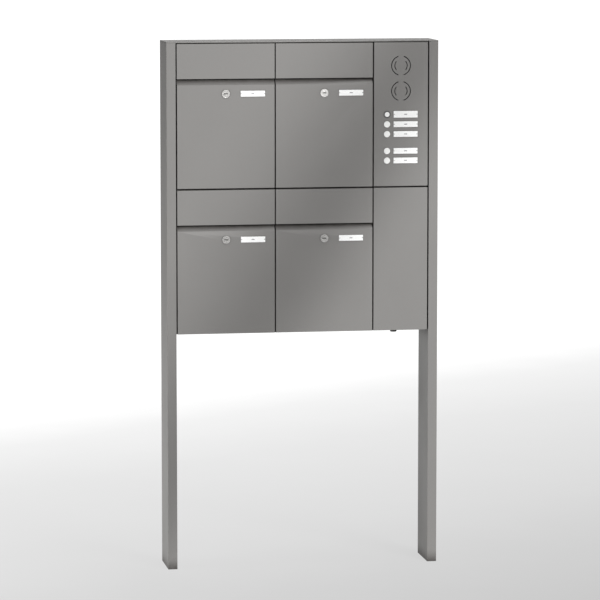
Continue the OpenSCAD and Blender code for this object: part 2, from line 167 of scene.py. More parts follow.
def makeEdgeWear():
    # how far the surface bends within a small radius, broken up so that the wear isn't even
    tree, given, out = newGroup("edgeWear", {"Radius": 0.0012, "Breakup Scale": 90}, ("Mask",))
    round_ = addNode(tree, "ShaderNodeBevel", samples=6)
    feed(tree, round_.inputs["Radius"], given.outputs["Radius"])
    flat = addNode(tree, "ShaderNodeNewGeometry")
    dot = addNode(tree, "ShaderNodeVectorMath", operation="DOT_PRODUCT")
    feed(tree, dot.inputs[0], round_.outputs[0])
    feed(tree, dot.inputs[1], flat.outputs["Normal"])
    bend = spread(tree, dot.outputs["Value"], 0.75, 0.99, 1.0, 0.0)
    patchy = noise(tree, objectPlace(tree), given.outputs["Breakup Scale"], 5.0)
    broken = spread(tree, patchy, 0.35, 0.65, 0.0, 1.0)
    feed(tree, out.inputs["Mask"], math2(tree, "MULTIPLY", bend, broken))
    return tree


def makeDustFall():
    # dust on what faces up, and splashes near the ground
    tree, given, out = newGroup("dustFall", {"Scale": 35, "Splash Height": 0.16}, ("Dust", "Splash"))
    place = objectPlace(tree)
    normal = addNode(tree, "ShaderNodeSeparateXYZ")
    feed(tree, normal.inputs[0], addNode(tree, "ShaderNodeNewGeometry").outputs["Normal"])
    height = addNode(tree, "ShaderNodeSeparateXYZ")
    feed(tree, height.inputs[0], place)
    speckle = noise(tree, place, given.outputs["Scale"], 6.0, 0.7)
    upward = spread(tree, normal.outputs[2], 0.35, 1.0, 0.0, 1.0)
    settled = spread(tree, speckle, 0.3, 0.75, 0.0, 1.0)
    feed(tree, out.inputs["Dust"], math2(tree, "MULTIPLY", upward, settled))
    low = math2(tree, "DIVIDE", height.outputs[2], given.outputs["Splash Height"])
    low = math2(tree, "SUBTRACT", 1.0, low, clamp=True)
    spots = spread(tree, noise(tree, place, 160.0, 6.0, 0.75), 0.45, 0.72, 0.0, 1.0)
    feed(tree, out.inputs["Splash"], math2(tree, "MULTIPLY", math2(tree, "POWER", low, 2.0), spots))
    return tree


def makeBrushLines():
    # long fine scratches, stretched along one axis by the three scales
    tree, given, out = newGroup("brushLines", {"Scale X": 900, "Scale Y": 900, "Scale Z": 30},
                                ("Height", "Tone"))
    stretch = addNode(tree, "ShaderNodeCombineXYZ")
    for axis, label in enumerate(("Scale X", "Scale Y", "Scale Z")):
        feed(tree, stretch.inputs[axis], given.outputs[label])
    scaled = addNode(tree, "ShaderNodeVectorMath", operation="MULTIPLY")
    feed(tree, scaled.inputs[0], objectPlace(tree))
    feed(tree, scaled.inputs[1], stretch.outputs[0])
    feed(tree, out.inputs["Height"], noise(tree, scaled.outputs[0], 1.0, 4.0, 0.7))
    feed(tree, out.inputs["Tone"], noise(tree, scaled.outputs[0], 0.21, 2.0))
    return tree


def makePaintedRecessShade():
    # painted shade: a dark colour where a surface is closely shut in by others, as in recesses, gaps and
    # under flaps
    tree, given, out = newGroup("paintedRecessShade", {"Reach": 0.03, "Breakup Scale": 45}, ("Mask",))
    shut = addNode(tree, "ShaderNodeAmbientOcclusion", samples=8)
    feed(tree, shut.inputs["Distance"], given.outputs["Reach"])
    patchy = noise(tree, objectPlace(tree), given.outputs["Breakup Scale"], 4.0)
    closed = spread(tree, shut.outputs["AO"], 0.52, 0.97, 1.0, 0.0)
    uneven = spread(tree, patchy, 0.25, 0.6, 0.82, 1.0)
    feed(tree, out.inputs["Mask"], math2(tree, "MULTIPLY", closed, uneven))
    return tree


groups = {"paintedRecessShade": makePaintedRecessShade(), "coatGrain": makeCoatGrain(), "edgeWear": makeEdgeWear(),
          "dustFall": makeDustFall(), "brushLines": makeBrushLines()}


def useGroup(tree, name, **values):
    node = addNode(tree, "ShaderNodeGroup", node_tree=groups[name])
    for label, value in values.items():
        feed(tree, node.inputs[label.replace("_", " ")], value)
    return node


def bump(tree, height, distance):
    node = addNode(tree, "ShaderNodeBump")
    node.inputs["Distance"].default_value = distance
    node.inputs["Strength"].default_value = 1.0
    feed(tree, node.inputs["Height"], height)
    return node.outputs[0]


def newMaterial(name):
    material = bpy.data.materials.new(name)
    material.use_nodes = True
    tree = material.node_tree
    return material, tree, tree.nodes["Principled BSDF"]


def shade(tree, shader, **sockets):
    for label, value in sockets.items():
        feed(tree, shader.inputs[label.replace("_", " ")], value)


# materials

paintTone = {
    "coat": (0.203, 0.198, 0.1915, 1),
    "fleck": (0.277, 0.272, 0.264, 1),
    "worn": (0.285, 0.28, 0.275, 1),
    "dust": (0.31, 0.295, 0.265, 1),
    "fleckAmount": 0.40,
    "cloudAmount": 0.10,
    "wearAmount": 0.30,
    "dustAmount": 0.10,
    "splashAmount": 0.22,
    # painted shade in recesses and gaps: its colour, strength and reach
    "paintedShade": (0.034, 0.029, 0.026, 1),
    "paintedShadeAmount": 0.80,
    "paintedShadeReach": 0.04,
    "metallic": 0.10,
    "roughness": (0.42, 0.52),
    "specular": 0.19,
    "peelDepth": 0.00003,
}


def makePaintedSheet(tone):
    material, tree, shader = newMaterial("paintedSheet")
    grain = useGroup(tree, "coatGrain", Peel_Scale=1100.0, Fleck_Scale=2400.0, Cloud_Scale=5.0)
    wear = useGroup(tree, "edgeWear", Radius=0.0009, Breakup_Scale=70.0)
    dust = useGroup(tree, "dustFall", Scale=30.0, Splash_Height=0.16)
    flecks = math2(tree, "MULTIPLY", grain.outputs["Fleck"], tone["fleckAmount"])
    colour = mixColour(tree, flecks, tone["coat"], tone["fleck"])
    clouds = spread(tree, grain.outputs["Cloud"], 0.3, 0.7, 0.0, tone["cloudAmount"])
    colour = mixColour(tree, clouds, colour, tone["fleck"])
    worn = math2(tree, "MULTIPLY", wear.outputs["Mask"], tone["wearAmount"])
    colour = mixColour(tree, worn, colour, tone["worn"])
    dirt = math2(tree, "MULTIPLY", dust.outputs["Dust"], tone["dustAmount"])
    splashes = math2(tree, "MULTIPLY", dust.outputs["Splash"], tone["splashAmount"])
    dirt = math2(tree, "MAXIMUM", dirt, splashes)
    colour = mixColour(tree, dirt, colour, tone["dust"])
    # painted shade: the coat darkens where it is shut in, as under each flap and between panels
    paintedShade = useGroup(tree, "paintedRecessShade", Reach=tone["paintedShadeReach"], Breakup_Scale=45.0)
    shutIn = math2(tree, "MULTIPLY", paintedShade.outputs["Mask"], tone["paintedShadeAmount"])
    colour = mixColour(tree, shutIn, colour, tone["paintedShade"])
    rough = spread(tree, grain.outputs["Cloud"], 0.3, 0.7, *tone["roughness"])
    rough = math2(tree, "ADD", rough, math2(tree, "MULTIPLY", dirt, 0.8), clamp=True)
    metal = math2(tree, "MULTIPLY", math2(tree, "SUBTRACT", 1.0, dirt), tone["metallic"])
    shade(tree, shader, Base_Color=colour, Roughness=rough, Metallic=metal,
          Normal=bump(tree, grain.outputs["Height"], tone["peelDepth"]))
    shader.inputs["Specular IOR Level"].default_value = tone["specular"]
    return material


steelTone = {
    "zinc": (0.44, 0.45, 0.47, 1),
    "dull": (0.30, 0.31, 0.33, 1),
    "patchAmount": 0.6,
    "streakAmount": 0.35,
    "roughness": (0.24, 0.44),
    "scratchDepth": 0.000012,
}


def makePlatedSteel(tone):
    material, tree, shader = newMaterial("platedSteel")
    lines = useGroup(tree, "brushLines", Scale_X=700.0, Scale_Y=40.0, Scale_Z=700.0)
    grain = useGroup(tree, "coatGrain", Peel_Scale=300.0, Fleck_Scale=240.0, Cloud_Scale=60.0)
    patches = math2(tree, "MULTIPLY", grain.outputs["Fleck"], tone["patchAmount"])
    colour = mixColour(tree, patches, tone["zinc"], tone["dull"])
    streaks = spread(tree, lines.outputs["Tone"], 0.3, 0.7, 0.0, tone["streakAmount"])
    colour = mixColour(tree, streaks, colour, tone["dull"])
    rough = spread(tree, grain.outputs["Cloud"], 0.3, 0.7, *tone["roughness"])
    shade(tree, shader, Base_Color=colour, Roughness=rough, Metallic=1.0,
          Normal=bump(tree, lines.outputs["Height"], tone["scratchDepth"]))
    return material


lockTone = {
    "nickel": (0.70, 0.69, 0.67, 1),
    "rubbed": (0.42, 0.41, 0.40, 1),
    "rubbedAmount": 0.35,
    # painted shade in the keyway and other hollows: its colour, strength and reach
    "paintedShade": (0.012, 0.012, 0.012, 1),
    "paintedShadeAmount": 0.9,
    "paintedShadeReach": 0.006,
    "roughness": (0.18, 0.36),
    "scratchDepth": 0.000008,
}


def makeLockMetal(tone):
    material, tree, shader = newMaterial("lockMetal")
    lines = useGroup(tree, "brushLines", Scale_X=260.0, Scale_Y=260.0, Scale_Z=2600.0)
    wear = useGroup(tree, "edgeWear", Radius=0.0006, Breakup_Scale=300.0)
    rubbing = spread(tree, lines.outputs["Tone"], 0.35, 0.65, 0.0, tone["rubbedAmount"])
    colour = mixColour(tree, rubbing, tone["nickel"], tone["rubbed"])
    colour = mixColour(tree, math2(tree, "MULTIPLY", wear.outputs["Mask"], 0.5), colour, tone["nickel"])
    # painted shade: the metal darkens nearly to black in the keyway and other hollows
    paintedShade = useGroup(tree, "paintedRecessShade", Reach=tone["paintedShadeReach"], Breakup_Scale=300.0)
    shutIn = math2(tree, "MULTIPLY", paintedShade.outputs["Mask"], tone["paintedShadeAmount"])
    colour = mixColour(tree, shutIn, colour, tone["paintedShade"])
    rough = spread(tree, lines.outputs["Height"], 0.3, 0.7, *tone["roughness"])
    shade(tree, shader, Base_Color=colour, Roughness=rough, Metallic=1.0,
          Normal=bump(tree, lines.outputs["Height"], tone["scratchDepth"]))
    return material


plasticTones = {
    "whitePlastic": {"colour": (0.92, 0.92, 0.91, 1), "mottled": (0.86, 0.86, 0.84, 1),
                     "roughness": (0.22, 0.34), "peelScale": 700.0},
    "blackPlastic": {"colour": (0.022, 0.022, 0.024, 1), "mottled": (0.05, 0.05, 0.052, 1),
                     "roughness": (0.42, 0.6), "peelScale": 500.0},
    "greyPlastic": {"colour": (0.52, 0.52, 0.50, 1), "mottled": (0.42, 0.42, 0.41, 1),
                    "roughness": (0.4, 0.55), "peelScale": 500.0},
}


def makePlastic(name, tone):
    material, tree, shader = newMaterial(name)
    peel, colour, mottled = tone["peelScale"], tone["colour"], tone["mottled"]
    grain = useGroup(tree, "coatGrain", Peel_Scale=peel, Fleck_Scale=peel * 1.7, Cloud_Scale=40.0)
    wear = useGroup(tree, "edgeWear", Radius=0.0006, Breakup_Scale=200.0)
    dust = useGroup(tree, "dustFall", Scale=60.0, Splash_Height=0.01)
    mixed = mixColour(tree, spread(tree, grain.outputs["Cloud"], 0.35, 0.65, 0.0, 0.5), colour, mottled)
    mixed = mixColour(tree, math2(tree, "MULTIPLY", wear.outputs["Mask"], 0.3), mixed, mottled)
    dusty = math2(tree, "MULTIPLY", dust.outputs["Dust"], 0.08)
    mixed = mixColour(tree, dusty, mixed, (0.4, 0.38, 0.35, 1))
    rough = spread(tree, grain.outputs["Cloud"], 0.3, 0.7, *tone["roughness"])
    shade(tree, shader, Base_Color=mixed, Roughness=rough,
          Normal=bump(tree, grain.outputs["Height"], 0.00002))
    return material


paperTones = {
    "cardStock": {"colour": (0.96, 0.96, 0.955, 1), "fibre": (0.91, 0.91, 0.90, 1)},
    "printedInk": {"colour": (0.20, 0.20, 0.21, 1), "fibre": (0.28, 0.28, 0.29, 1)},
}


def makeCard(name, tone):
    material, tree, shader = newMaterial(name)
    fibres = noise(tree, objectPlace(tree), 1400.0, 5.0, 0.7, 1.2)
    mixed = mixColour(tree, spread(tree, fibres, 0.35, 0.7, 0.0, 1.0), tone["colour"], tone["fibre"])
    rough = spread(tree, fibres, 0.3, 0.7, 0.7, 0.85)
    shade(tree, shader, Base_Color=mixed, Roughness=rough, Normal=bump(tree, fibres, 0.00001))
    return material


windowTone = {
    "tint": (0.93, 0.94, 0.94, 1),
    "cover": 0.05,  # how much of what lies behind is hidden
    "edgeCover": 0.25,
    "roughness": (0.05, 0.16),
    "scratchDepth": 0.000004,
}


def makeClearPlastic(tone):
    material, tree, shader = newMaterial("clearPlastic")
    haze = noise(tree, objectPlace(tree), 80.0, 4.0, 0.6)
    scratches = useGroup(tree, "brushLines", Scale_X=60.0, Scale_Y=900.0, Scale_Z=1800.0)
    wear = useGroup(tree, "edgeWear", Radius=0.0005, Breakup_Scale=150.0)
    edges = math2(tree, "MULTIPLY", wear.outputs["Mask"], tone["edgeCover"])
    alpha = math2(tree, "ADD", tone["cover"], edges, clamp=True)
    rough = spread(tree, haze, 0.3, 0.7, *tone["roughness"])
    shade(tree, shader, Base_Color=tone["tint"], Roughness=rough, Alpha=alpha,
          Normal=bump(tree, scratches.outputs["Height"], tone["scratchDepth"]))
    return material


materials = {
    "painted_sheet": makePaintedSheet(paintTone),
    "plated_steel": makePlatedSteel(steelTone),
    "lock_metal": makeLockMetal(lockTone),
    "card": makeCard("cardStock", paperTones["cardStock"]),
    "clear_plastic": makeClearPlastic(windowTone),
    "white_plastic": makePlastic("whitePlastic", plasticTones["whitePlastic"]),
    "black_plastic": makePlastic("blackPlastic", plasticTones["blackPlastic"]),
    "grey_plastic": makePlastic("greyPlastic", plasticTones["greyPlastic"]),
}
ink = makeCard("printedInk", paperTones["printedInk"])
print("materials made:", len(materials) + 1)


# pieces from mesh code

def addPiece(name, mesh, body, slot, replaced=(), material=None, smoothAngle=38):
    piece = bpy.data.objects.new(name, mesh)
    bpy.context.scene.collection.objects.link(piece)
    mesh.materials.clear()
    mesh.materials.append(material or materials[slot])
    for polygon in mesh.polygons:
        polygon.use_smooth = True
    mesh.set_sharp_from_angle(angle=math.radians(smoothAngle))
    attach(piece, body)
    if replaced:
        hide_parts(*replaced)
    return piece


def meshFrom(name, bm):
    mesh = bpy.data.meshes.new(name)
    bm.to_mesh(mesh)
    bm.free()
    return mesh


def weightNormals(piece):
    modifier = piece.modifiers.new("weighted", "WEIGHTED_NORMAL")
    modifier.keep_sharp = True


def onBoxEdge(edge, low, high, slack=2e-5):
    # whether an edge lies along an edge of its node's own box
    planes = 0
    for axis in range(3):
        for limit in (low[axis], high[axis]):
            planes += all(abs(v.co[axis] - limit) < slack for v in edge.verts)
    return planes >= 2


def bevelEdges(bm, edges, width, segments):
    if edges:
        bmesh.ops.bevel(bm, geom=edges, offset=width, segments=segments, profile=0.5,
                        affect="EDGES", clamp_overlap=True, loop_slide=True)


def facesHold(mesh):
    # whether every face is cut into triangles that cover it exactly once
    mesh.calc_loop_triangles()
    covered = {}
    for triangle in mesh.loop_triangles:
        covered[triangle.polygon_index] = covered.get(triangle.polygon_index, 0) + triangle.area
    return all(abs(covered.get(p.index, 0) - p.area) < 2e-7 + 1e-3 * p.area for p in mesh.polygons)


def bevelled(node, outer, inner, joinFlats, sharpest=30):
    low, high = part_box(node)
    bm = bmesh.new()
    bm.from_mesh(frame["nodes"][node].data)
    bmesh.ops.remove_doubles(bm, verts=bm.verts, dist=2e-6)
    if joinFlats:
        bmesh.ops.dissolve_limit(bm, angle_limit=math.radians(0.6), verts=bm.verts, edges=bm.edges,
                                 use_dissolve_boundaries=False, delimit={"NORMAL"})

    def folds(wanted):
        limit = math.radians(sharpest)
        return [e for e in bm.edges if len(e.link_faces) == 2 and e.calc_face_angle(0) > limit
                and wanted(e)]

    if outer:
        bevelEdges(bm, folds(lambda e: e.is_convex and onBoxEdge(e, low, high)), outer, 3)
    if inner:
        limit = inner * 4
        bevelEdges(bm, folds(lambda e: e.is_convex and e.calc_length() > limit), inner, 2)
    return meshFrom(node, bm)


def softened(node, outer, inner):
    # a merged copy of the node's mesh with its folds rounded: the outline wide, everything else fine
    sizes = [(outer, inner), (outer / 2, inner / 2), (outer / 2, 0), (outer / 4, 0)]
    choices = [(joinFlats, size) for size in sizes for joinFlats in (True, False)] + [(True, (0, 0))]
    for joinFlats, (wide, fine) in choices:
        mesh = bevelled(node, wide, fine, joinFlats)
        if facesHold(mesh):
            return mesh
    print("left with sharp folds:", node)
    return bevelled(node, 0, 0, False)


foldSizes = {
    "door": (1.1, 0.3), "flap": (0.6, 0.3), "housing": (1.4, 0.25), "slot_frame": (0.4, 0.25),
    "baffle": (0.5, 0.3), "hinge_brackets": (0.4, 0.2),
    "left_post": (1.0, 0.4), "right_post": (1.0, 0.4), "foot_plates": (0.8, 0.4), "top_cover": (0.8, 0.3),
    "bell_housing": (1.4, 0.25), "service_housing": (1.4, 0.25), "bell_panel": (1.1, 0.2),
    "service_panel": (1.1, 0.3), "button_block": (0.8, 0.3), "voice_unit": (0.4, 0.4),
    "power_supply": (1.2, 1.0), "cable_gland": (0.6, 0.4),
}


def makeSoftened():
    for node in frame["nodes"]:
        kind = next((k for k in foldSizes if node == k or node.endswith("_" + k)), None)
        if kind is None:
            continue
        outer, inner = foldSizes[kind]
        mesh = softened(node, outer * mm, inner * mm)
        weightNormals(addPiece(node + "_piece", mesh, bodyOf[node], slotOf[node], (node,)))


makeSoftened()
print("sheet metal and housings made")


def turned(bm, profile, centre, steps=72):
    # revolves (radius, y) points about the Y axis through centre, closed at both ends
    x, z = centre
    rings = []
    for radius, y in profile:
        if radius < 1e-6:
            rings.append([bm.verts.new((x, y, z))])
        else:
            angles = [2 * math.pi * i / steps for i in range(steps)]
            around = [(x + radius * math.cos(a), y, z + radius * math.sin(a)) for a in angles]
            rings.append([bm.verts.new(place) for place in around])
    for a, b in zip(rings, rings[1:]):
        for i in range(steps):
            j = (i + 1) % steps
            corners = [a[i % len(a)], a[j % len(a)], b[j % len(b)], b[i % len(b)]]
            bm.faces.new(list(dict.fromkeys(corners)))


def rounded(radius, face, corner, count=5):
    # the profile of a disc's rounded edge, from its face round to its side
    step = math.pi / 2 / count
    return [(radius - corner + corner * math.sin(i * step), face + corner * (1 - math.cos(i * step)))
            for i in range(count + 1)]


lockSizes = {"corner": 0.25}


def makeLock(cell, sizes):
    corner = sizes["corner"] * mm
    for node in (cell + "_lock_barrel", cell + "_lock_plug"):
        mesh = softened(node, corner, corner)
        weightNormals(addPiece(node + "_piece", mesh, bodyOf[node], slotOf[node], (node,)))


for cell in cells:
    makeLock(cell, lockSizes)
print("locks made")


# name plates

plateSizes = {
    "mark": (9.0, 2.6),  # width and height of the small printed bar
    "markThick": 0.03,
    "corner": 0.3,
    "airGap": 0.08,  # between a card and its window
}


def slabMesh(name, low, high):
    bm = bmesh.new()
    bmesh.ops.create_cube(bm, size=1.0)
    for vert in bm.verts:
        vert.co = Vector([low[i] if vert.co[i] < 0 else high[i] for i in range(3)])
    return meshFrom(name, bm)


def islands(node):
    # the boxes of a node's separate solids
    bm = bmesh.new()
    bm.from_mesh(frame["nodes"][node].data)
    bmesh.ops.remove_doubles(bm, verts=bm.verts, dist=2e-6)
    seen, boxes = set(), []
    for start in bm.verts:
        if start in seen:
            continue
        stack, members = [start], []
        seen.add(start)
        while stack:
            vert = stack.pop()
            members.append(vert.co.copy())
            for edge in vert.link_edges:
                other = edge.other_vert(vert)
                if other not in seen:
                    seen.add(other)
                    stack.append(other)
        boxes.append((Vector([min(c[i] for c in members) for i in range(3)]),
                      Vector([max(c[i] for c in members) for i in range(3)])))
    bm.free()
    return sorted(boxes, key=lambda b: -b[0].z)


def setBack(mesh, gap):
    # the front half of a card stands a little behind its window
    middle = (min(v.co.y for v in mesh.vertices) + max(v.co.y for v in mesh.vertices)) / 2
    for vert in mesh.vertices:
        if vert.co.y < middle:
            vert.co.y += gap


def makePlates(cards, windows, body, label, sizes):
    for node in (cards, windows):
        mesh = softened(node, sizes["corner"] * mm, 0.0)
        if node == cards:
            setBack(mesh, sizes["airGap"] * mm)
        weightNormals(addPiece(node + "_piece", mesh, body, slotOf[node], (node,)))
    wide, tall = sizes["mark"]
    half = Vector((wide * mm / 2, 0, tall * mm / 2))
    for index, (low, high) in enumerate(islands(cards)):
        middle = (low + high) / 2
        face = low.y + sizes["airGap"] * mm
        markLow = Vector((middle.x, face - sizes["markThick"] * mm, middle.z)) - half
        markHigh = Vector((middle.x, face, middle.z)) + half
        name = f"{label}_mark_{index}"
        addPiece(name, slabMesh(name, markLow, markHigh), body, "card", material=ink)


for cell in cells:
    card = cell + "_name_card"
    makePlates(card, cell + "_name_window", bodyOf[card], cell, plateSizes)
makePlates("bell_cards", "bell_windows", "unit", "bell", plateSizes)
print("name plates made")


# bell buttons

buttonSizes = {
    "cap": 9.5,  # radius of a bell button's cap
    "lightCap": 7.5,
    "corner": 0.8,
    "dish": 0.25,
    "capEnd": 3.2,  # how far behind the front each step of the button ends
    "shoulderEnd": 5.4,
    "neckEnd": 7.5,
    "stem": 4.0,
    "break": 0.1,  # width of the small slope at each step
}


def makeButton(node, sizes):
    low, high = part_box(node)
    centre = ((low.x + high.x) / 2, (low.z + high.z) / 2)
    cap = sizes["lightCap" if node == "light_button" else "cap"] * mm
    shoulder = (high.x - low.x) / 2
    front = low.y
    dish, corner, slope, stem = (sizes[k] * mm for k in ("dish", "corner", "break", "stem"))
    capEnd, shoulderEnd, neckEnd = (front + sizes[k] * mm for k in ("capEnd", "shoulderEnd", "neckEnd"))
    profile = [(0, front + dish), (cap * 0.45, front + dish * 0.6), (cap * 0.72, front)]
    profile += rounded(cap, front, corner)
    profile += [(cap, capEnd), (shoulder, capEnd + slope), (shoulder, shoulderEnd - slope),
                (cap, shoulderEnd), (cap, neckEnd), (stem, neckEnd), (stem, high.y), (0, high.y)]
    bm = bmesh.new()
    turned(bm, profile, centre)
    bmesh.ops.recalc_face_normals(bm, faces=bm.faces)
    addPiece(node + "_piece", meshFrom(node, bm), node, slotOf[node], (node,), smoothAngle=50)


for node in ["light_button"] + bells:
    makeButton(node, buttonSizes)
print("bell buttons made")


# screws and nuts, set out with geometry nodes

screwSizes = {
    "headRadius": 5.0,
    "headHigh": 3.0,
    "headCorner": 0.6,
    "socketRadius": 2.6,
    "socketDeep": 1.7,
    "shankRadius": 3.0,
    "lugRadius": 2.5,  # of the long screws that hold the hinge lugs
    "lugLength": 20.0,  # screws longer than this are lug screws and have no nut
    "threadDeep": 0.3,
    "pitch": 1.0,
    "nutRadius": 5.7,
    "nutHigh": 5.0,
    "nutChamfer": 0.5,
    "nutBack": 1.0,  # how far a nut stands from the screw's end
    "spin": 6.283,  # each is turned about its own axis by up to this
    "seed": 7,
}


def turnedUp(bm, profile, outline, steps=48):
    # turns (radius, z) points about Z, closed at both ends; outline gives the radius at each angle
    rings = []
    for radius, z in profile:
        if radius < 1e-6:
            rings.append([bm.verts.new((0, 0, z))])
            continue
        ring = []
        for i in range(steps):
            a = 2 * math.pi * i / steps
            r = outline(radius, a, z)
            ring.append(bm.verts.new((r * math.cos(a), r * math.sin(a), z)))
        rings.append(ring)
    for a, b in zip(rings, rings[1:]):
        for i in range(steps):
            j = (i + 1) % steps
            corners = [a[i % len(a)], a[j % len(a)], b[j % len(b)], b[i % len(b)]]
            bm.faces.new(list(dict.fromkeys(corners)))
    bmesh.ops.recalc_face_normals(bm, faces=bm.faces)


def sixSided(corner, angle):
    # the radius of a hexagon with this corner radius, at this angle
    return corner * math.cos(math.pi / 6) / math.cos((angle % (math.pi / 3)) - math.pi / 6)


def screwMesh(name, length, shank, sizes):
    # from the head's outer face at z = 0 up to the shank's end at z = length
    head, high, corner = sizes["headRadius"] * mm, sizes["headHigh"] * mm, sizes["headCorner"] * mm
    hexagon, deep = sizes["socketRadius"] * mm, sizes["socketDeep"] * mm
    profile = [(0, deep), (hexagon, deep), (hexagon, 0.2 * mm), (hexagon + 0.3 * mm, 0)]
    profile.append((head - corner, 0))
    for a in (0.5, 1.1, math.pi / 2):
        profile.append((head - corner + corner * math.sin(a), corner * (1 - math.cos(a))))
    profile += [(head, high - 0.15 * mm), (head - 0.15 * mm, high), (shank, high)]
    pitch, cut = sizes["pitch"] * mm, sizes["threadDeep"] * mm
    count = int((length - high - 0.6 * mm) / pitch)
    for i in range(count):
        z = high + (i + 0.5) * pitch
        profile += [(shank, z - 0.25 * pitch), (shank - cut, z + 0.25 * pitch)]
    profile += [(shank - cut, length - 0.4 * mm), (shank - cut - 0.4 * mm, length), (0, length)]

    def outline(radius, angle, z):
        inside = radius <= hexagon + 1e-9 and z <= deep + 1e-9
        return sixSided(radius, angle) if inside else radius

    bm = bmesh.new()
    turnedUp(bm, profile, outline)
    return meshFrom(name, bm)


def nutMesh(name, bore, sizes):
    # a hexagon with rounded-off corners at both faces and a plain bore, from z = 0 up
    corner, high, chamfer = sizes["nutRadius"] * mm, sizes["nutHigh"] * mm, sizes["nutChamfer"] * mm
    flat = corner * math.cos(math.pi / 6)
    profile = [(bore, 0), (bore + 0.4 * mm, 0), (flat, 0.0), (corner, chamfer), (corner, high - chamfer),
               (flat, high), (bore + 0.4 * mm, high), (bore, high - 0.3 * mm), (bore, 0)]

    def outline(radius, angle, z):
        return sixSided(radius, angle) if radius > flat + 1e-9 else radius

    bm = bmesh.new()
    turnedUp(bm, profile, outline)
    bmesh.ops.remove_doubles(bm, verts=bm.verts, dist=1e-6)
    bmesh.ops.recalc_face_normals(bm, faces=bm.faces)
    return meshFrom(name, bm)


def makeSetOutGroup():
    tree = bpy.data.node_groups.new("setOut", "GeometryNodeTree")
    made = {}
    kinds = {"Places": "Geometry", "Shape": "Object", "Finish": "Material", "Spin": "Float", "Seed": "Int"}
    for label, kind in kinds.items():
        socket = tree.interface.new_socket(label, in_out="INPUT", socket_type="NodeSocket" + kind)
        made[label] = socket.identifier
    tree.interface.new_socket("Set Out", in_out="OUTPUT", socket_type="NodeSocketGeometry")
    given, out = addNode(tree, "NodeGroupInput"), addNode(tree, "NodeGroupOutput")
    shape = addNode(tree, "GeometryNodeObjectInfo")
    feed(tree, shape.inputs["Object"], given.outputs["Shape"])
    turn = addNode(tree, "GeometryNodeInputNamedAttribute", data_type="FLOAT_VECTOR")
    turn.inputs["Name"].default_value = "turn"
    place = addNode(tree, "GeometryNodeInstanceOnPoints")
    feed(tree, place.inputs["Points"], given.outputs["Places"])
    feed(tree, place.inputs["Instance"], shape.outputs["Geometry"])
    feed(tree, place.inputs["Rotation"], turn.outputs["Attribute"])
    chance = addNode(tree, "FunctionNodeRandomValue", data_type="FLOAT")
    feed(tree, chance.inputs[3], given.outputs["Spin"])
    feed(tree, chance.inputs["Seed"], given.outputs["Seed"])
    about = addNode(tree, "ShaderNodeCombineXYZ")
    feed(tree, about.inputs[2], chance.outputs[1])
    rotate = addNode(tree, "GeometryNodeRotateInstances")
    feed(tree, rotate.inputs["Instances"], place.outputs[0])
    feed(tree, rotate.inputs["Rotation"], about.outputs[0])
    real = addNode(tree, "GeometryNodeRealizeInstances")
    feed(tree, real.inputs[0], rotate.outputs[0])
    finish = addNode(tree, "GeometryNodeSetMaterial")
    feed(tree, finish.inputs["Geometry"], real.outputs[0])
    feed(tree, finish.inputs["Material"], given.outputs["Finish"])
    feed(tree, out.inputs[0], finish.outputs[0])
    return tree, made


setOutTree, setOutNames = makeSetOutGroup()


def setOut(name, shapeMesh, places, finish, spin, seed):
    # one plain mesh with a copy of the shape at each (place, direction)
    shape = bpy.data.objects.new(name + "_shape", shapeMesh)
    mesh = bpy.data.meshes.new(name + "_places")
    mesh.from_pydata([p for p, d in places], [], [])
    turn = mesh.attributes.new("turn", "FLOAT_VECTOR", "POINT")
    angles = [Vector(d).to_track_quat("Z", "Y").to_euler() for p, d in places]
    turn.data.foreach_set("vector", [a for euler in angles for a in euler])
    holder = bpy.data.objects.new(name, mesh)
    bpy.context.scene.collection.objects.link(holder)
    modifier = holder.modifiers.new("setOut", "NODES")
    modifier.node_group = setOutTree
    for label, value in (("Shape", shape), ("Finish", finish), ("Spin", spin), ("Seed", seed)):
        modifier[setOutNames[label]] = value
    bpy.context.view_layer.update()
    evaluated = holder.evaluated_get(bpy.context.evaluated_depsgraph_get())
    result = bpy.data.meshes.new_from_object(evaluated)
    bpy.data.objects.remove(holder)
    bpy.data.objects.remove(shape)
    return result


def joined(name, meshes):
    bm = bmesh.new()
    for mesh in meshes:
        bm.from_mesh(mesh)
    return meshFrom(name, bm)


def sortScrews(sizes):
    # the places and directions of the loose nuts, and of the screws by length
    nuts, screws = [], {}
    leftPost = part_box("left_post")[1].x
    for low, high in islands("fixing_screws"):
        span, middle = high - low, (low + high) / 2
        upright = ((middle.x, middle.y, low.z), (0, 0, 1))
        if span.z < (sizes["nutHigh"] + 1.0) * mm:
            nuts.append(upright)
        elif span.x > (2 * sizes["nutRadius"] + 0.4) * mm:  # longer along X than a nut is wide
            way = -1 if middle.x < leftPost + 0.05 else 1
            start = high.x if way < 0 else low.x
            screws.setdefault(round(span.x, 4), []).append(((start, middle.y, middle.z), (way, 0, 0)))
        else:
            screws.setdefault(round(span.z, 4), []).append(upright)
    return nuts, screws


def makeScrews(sizes):
    nuts, screws = sortScrews(sizes)
    steel = materials["plated_steel"]
    meshes = []
    for length, places in sorted(screws.items()):
        lug = length > sizes["lugLength"] * mm
        shank = (sizes["lugRadius"] if lug else sizes["shankRadius"]) * mm
        shape = screwMesh("screw", length, shank, sizes)
        name = f"screws_{len(meshes)}"
        meshes.append(setOut(name, shape, places, steel, sizes["spin"], sizes["seed"]))
        if not lug:
            up = length - (sizes["nutHigh"] + sizes["nutBack"]) * mm
            nuts += [(tuple(Vector(p) + up * Vector(d)), d) for p, d in places]
    nut = nutMesh("nut", sizes["shankRadius"] * mm, sizes)
    meshes.append(setOut("nuts", nut, nuts, steel, 0.0, sizes["seed"]))
    whole = joined("fixing_screws", meshes)
    addPiece("fixing_screws_piece", whole, "unit", "plated_steel", ("fixing_screws",))
    print("screws and nuts set out:", len(nuts))


makeScrews(screwSizes)


# floor, backdrop and light

